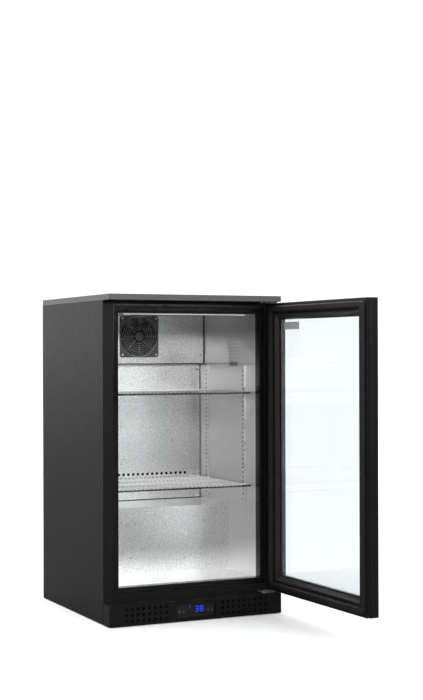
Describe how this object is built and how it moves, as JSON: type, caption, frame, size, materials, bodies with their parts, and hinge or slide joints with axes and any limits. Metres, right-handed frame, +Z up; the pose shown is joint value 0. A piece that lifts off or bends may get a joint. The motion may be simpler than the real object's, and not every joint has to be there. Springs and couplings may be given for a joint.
{
  "type": "under counter fridge",
  "caption": "Black under-counter bottle cooler with a glass door standing open, wire shelves, light strip, fan cooling and a machinery bay behind a vented plinth.",
  "frame": {"origin": "on the floor, under the middle of the cabinet", "axes": "+X to the viewer's right when facing the front, +Y to the back, +Z up; the front faces -Y"},
  "size_m": [0.5205, 0.9831, 0.86],
  "materials": {
    "casing_paint": "satin black powder coat",
    "worktop_board": "bare board",
    "galvanised": "galvanised",
    "foam": "rigid foam",
    "liner_alu": "stucco embossed",
    "frame_plastic": "gloss",
    "dark_plastic": "matt",
    "grey_plastic": "matt",
    "white_plastic": "matt",
    "lens": "milky",
    "coil_alu": "mill",
    "copper": "drawn copper",
    "bright_wire": "plated",
    "zinc_steel": "zinc plated",
    "door_profile": "black anodised",
    "seal": "satin",
    "pane": "clear",
    "spacer_alu": "bright",
    "key_plastic": "satin",
    "window_plastic": "smoked",
    "compressor_paint": "gloss black",
    "rubber_black": "matt"
  },
  "bodies": {
    "cabinet": {"worktop_skin": "casing_paint", "worktop_core": "worktop_board", "left_side_panel": "casing_paint", "right_side_panel": "casing_paint", "back_panel": "galvanised", "rear_service_grille": "casing_paint", "base_pan": "galvanised", "bay_partition": "galvanised", "front_rails": "casing_paint", "plinth": "casing_paint", "insulation_foam": "foam", "liner_left": "liner_alu", "liner_right": "liner_alu", "liner_back": "liner_alu", "liner_ceiling": "liner_alu", "liner_floor": "liner_alu", "breaker_frame": "frame_plastic", "air_duct_panel": "liner_alu", "evaporator_cover": "liner_alu", "fan_guard": "dark_plastic", "evaporator_fan_housing": "dark_plastic", "evaporator_fins": "coil_alu", "evaporator_tubes": "copper", "drip_tray": "grey_plastic", "shelf_pilasters": "liner_alu", "shelf_clips": "zinc_steel", "lamp_housing": "white_plastic", "lamp_lens": "lens", "top_hinge_bracket": "zinc_steel", "bottom_hinge_bracket": "zinc_steel", "controller_bezel": "frame_plastic", "display_window": "window_plastic", "compressor_shell": "compressor_paint", "compressor_mounts": "rubber_black", "terminal_cover": "dark_plastic", "condenser": "coil_alu", "condenser_fan_housing": "dark_plastic", "filter_drier": "copper", "refrigerant_lines": "copper", "mains_cable_gland": "dark_plastic", "levelling_feet": "dark_plastic", "panel_screws": "zinc_steel"},
    "door": {"door_top_rail": "door_profile", "door_bottom_rail": "door_profile", "door_hinge_stile": "door_profile", "door_free_stile": "door_profile", "glazing_bead": "dark_plastic", "door_gasket": "seal", "outer_glass": "pane", "inner_glass": "pane", "glass_spacer": "spacer_alu", "hinge_bushes": "white_plastic"},
    "evaporator_fan": {"evaporator_fan_rotor": "dark_plastic"},
    "condenser_fan": {"condenser_fan_rotor": "dark_plastic"},
    "upper_shelf": {"upper_shelf": "bright_wire"},
    "lower_shelf": {"lower_shelf": "bright_wire"},
    "key_set": {"key_set": "key_plastic"},
    "key_lamp": {"key_lamp": "key_plastic"},
    "key_up": {"key_up": "key_plastic"},
    "key_down": {"key_down": "key_plastic"}
  },
  "joints": [
    {"name": "door_hinge", "type": "hinge", "parent": "cabinet", "child": "door", "pos_m": [0.239, -0.235, 0.451], "axis": [0, 0, 1], "range_deg": [-91, 14]},
    {"name": "upper_shelf_slide", "type": "slide", "parent": "cabinet", "child": "upper_shelf", "axis": [0, -1, 0], "range_m": [0, 0.36]},
    {"name": "lower_shelf_slide", "type": "slide", "parent": "cabinet", "child": "lower_shelf", "axis": [0, -1, 0], "range_m": [0, 0.36]},
    {"name": "evaporator_fan_spin", "type": "hinge", "parent": "cabinet", "child": "evaporator_fan", "pos_m": [0, 0.1484, 0.7545], "axis": [0, -1, 0], "continuous": true},
    {"name": "condenser_fan_spin", "type": "hinge", "parent": "cabinet", "child": "condenser_fan", "pos_m": [0.12, 0.14, 0.096], "axis": [0, -1, 0], "continuous": true},
    {"name": "key_set_press", "type": "slide", "parent": "cabinet", "child": "key_set", "axis": [0, 1, 0], "range_m": [0, 0.0008], "stiffness_N_per_m": 400},
    {"name": "key_lamp_press", "type": "slide", "parent": "cabinet", "child": "key_lamp", "axis": [0, 1, 0], "range_m": [0, 0.0008], "stiffness_N_per_m": 400},
    {"name": "key_up_press", "type": "slide", "parent": "cabinet", "child": "key_up", "axis": [0, 1, 0], "range_m": [0, 0.0008], "stiffness_N_per_m": 400},
    {"name": "key_down_press", "type": "slide", "parent": "cabinet", "child": "key_down", "axis": [0, 1, 0], "range_m": [0, 0.0008], "stiffness_N_per_m": 400}
  ]
}
